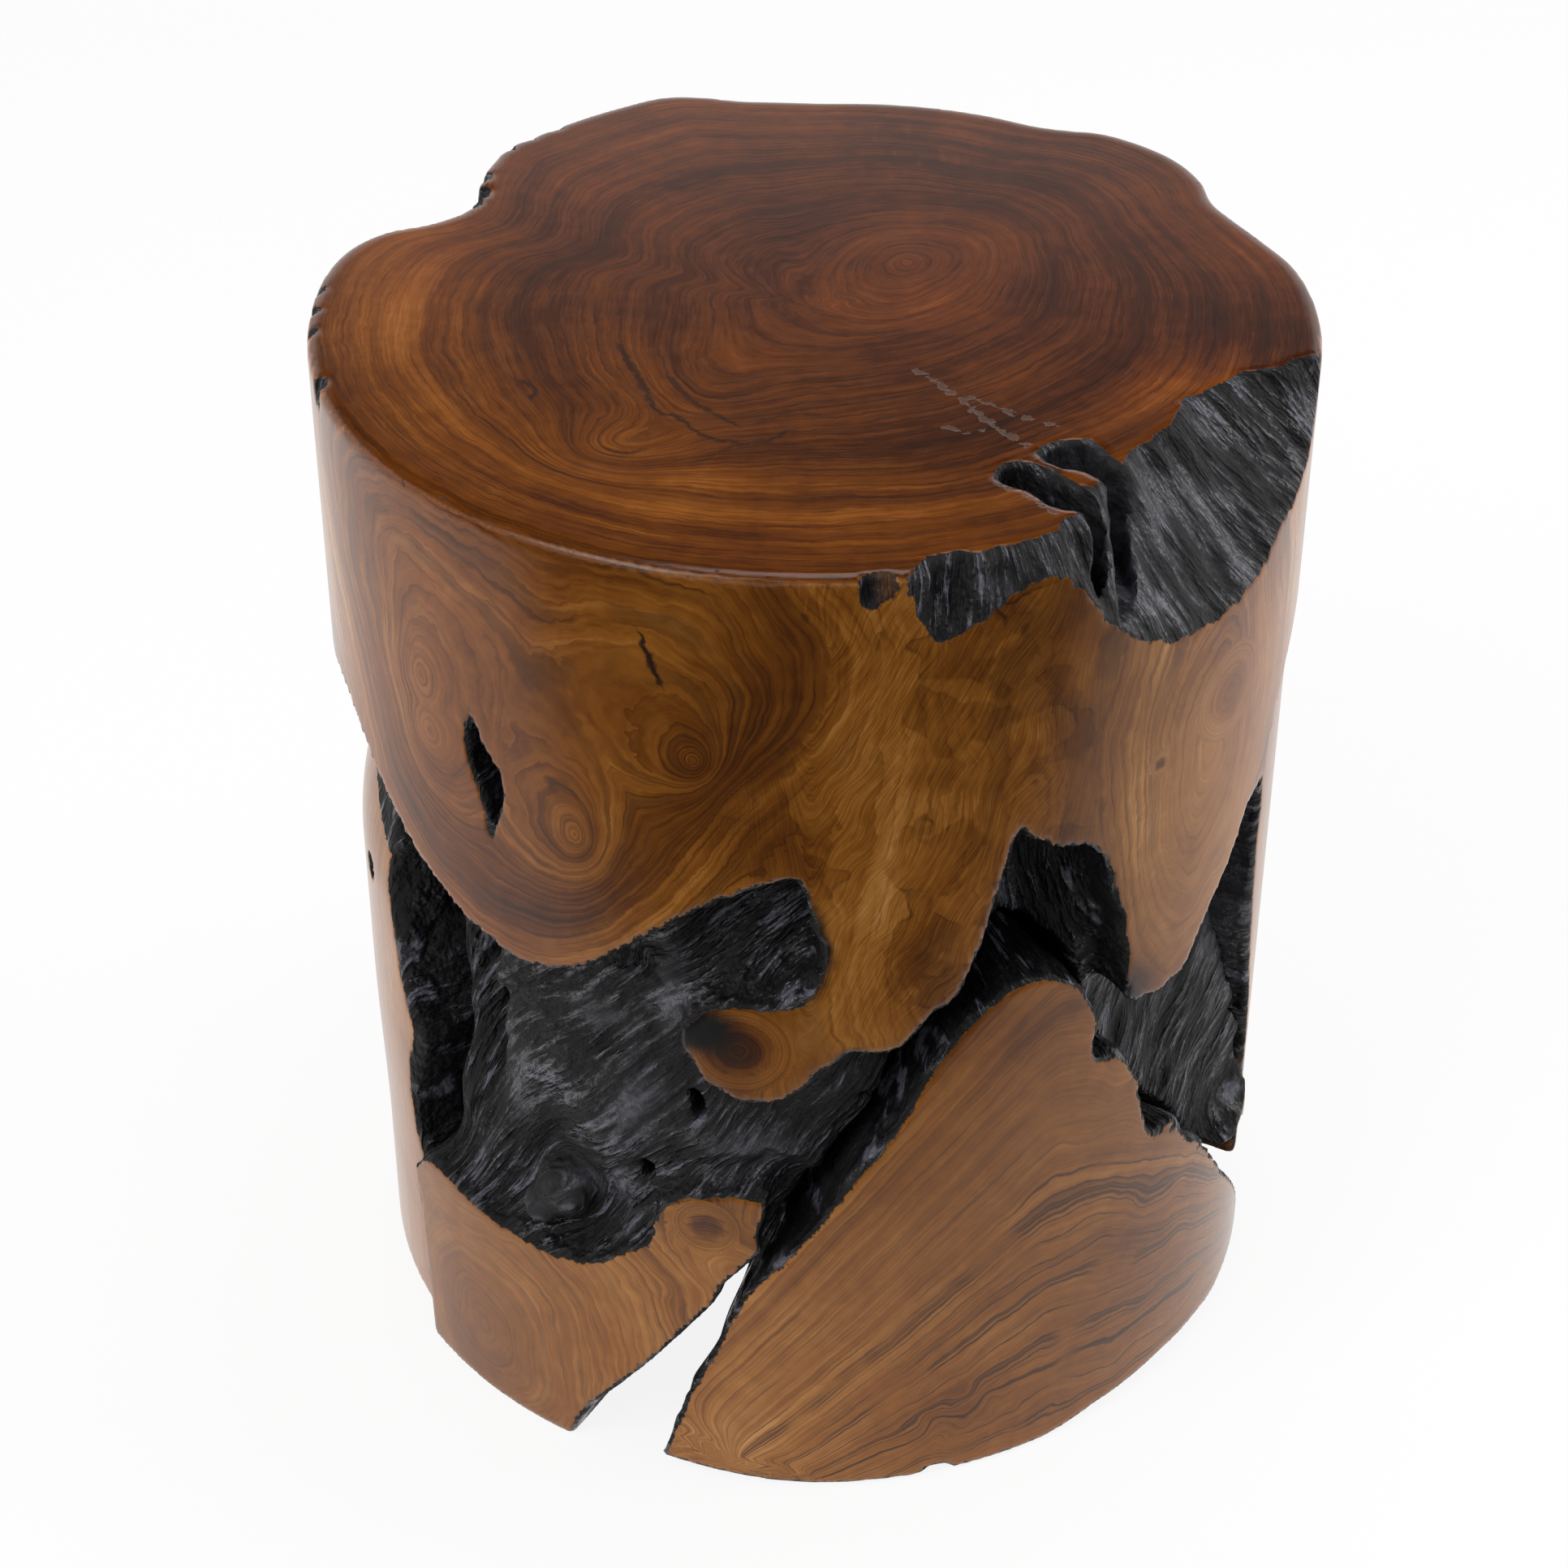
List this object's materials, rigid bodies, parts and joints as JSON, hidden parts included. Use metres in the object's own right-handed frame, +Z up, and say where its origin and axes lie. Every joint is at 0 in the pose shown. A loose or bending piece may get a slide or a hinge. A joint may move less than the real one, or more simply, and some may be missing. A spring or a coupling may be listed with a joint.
{
  "type": "stump stool",
  "caption": "Drum-shaped stool turned from a root stump, with a flat live-edged seat, charred hollows and root feet glued on with dowels.",
  "frame": {"origin": "on the floor, below the middle of the drum", "axes": "+Z up, -Y towards the viewer of the picture, +X to the right"},
  "size_m": [0.3964, 0.3942, 0.45],
  "materials": {
    "trunk_wood": "polished teak root, charred black and rough in its natural hollows",
    "foot_wood": "polished teak root with dark growth lines, charred sides",
    "root_wood": "polished pale teak root, charred sides",
    "plug_wood": "polished",
    "dowel_wood": "bare hardwood",
    "screw_steel": "zinc-plated"
  },
  "bodies": {
    "root": {"stump_trunk": "trunk_wood", "right_foot_root": "foot_wood", "left_side_root": "root_wood", "rear_right_root": "root_wood", "left_root_plug": "plug_wood", "left_root_screw": "screw_steel", "left_root_dowel": "dowel_wood", "foot_dowel_upper": "dowel_wood", "foot_dowel_lower_left": "dowel_wood", "foot_dowel_lower_right": "dowel_wood", "rear_root_dowel_upper": "dowel_wood", "rear_root_dowel_lower": "dowel_wood"}
  },
  "joints": []
}
